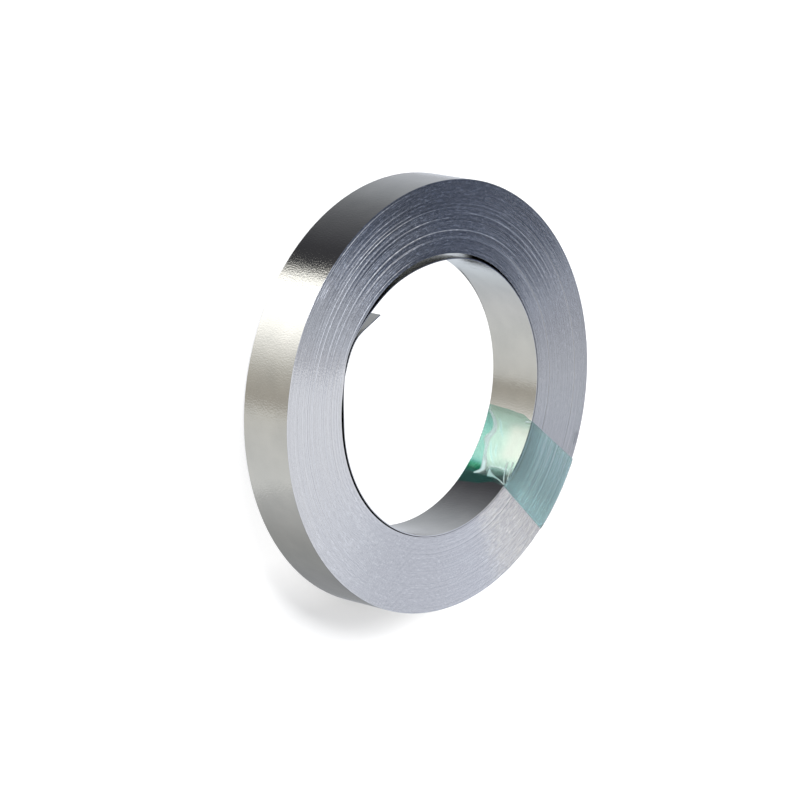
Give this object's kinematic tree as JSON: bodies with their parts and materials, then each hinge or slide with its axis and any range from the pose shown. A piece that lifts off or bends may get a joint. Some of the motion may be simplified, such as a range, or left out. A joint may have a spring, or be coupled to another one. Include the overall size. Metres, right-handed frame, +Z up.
{
  "type": "coil of nickel strip",
  "caption": "Flat nickel strip wound tightly on itself into a ring-shaped coil with an open bore, a free inner end and a band of clear green film round the ring.",
  "frame": {"origin": "bottom centre of the bounding box: where the coil's axis meets the floor that it lies on", "axes": "+Z up along the coil's axis, with the end seen in the picture facing up, +X to the picture's right and +Y to its top"},
  "size_m": [0.058, 0.058, 0.0081],
  "materials": {
    "nickel_strip": "cold rolled nickel, satin with a fine grain on the flat and slit edges with a bluish cast",
    "binding_film": "clear green plastic film, glossy"
  },
  "bodies": {
    "root": {"nickel_strip": "nickel_strip", "binding_film": "binding_film"}
  },
  "joints": []
}
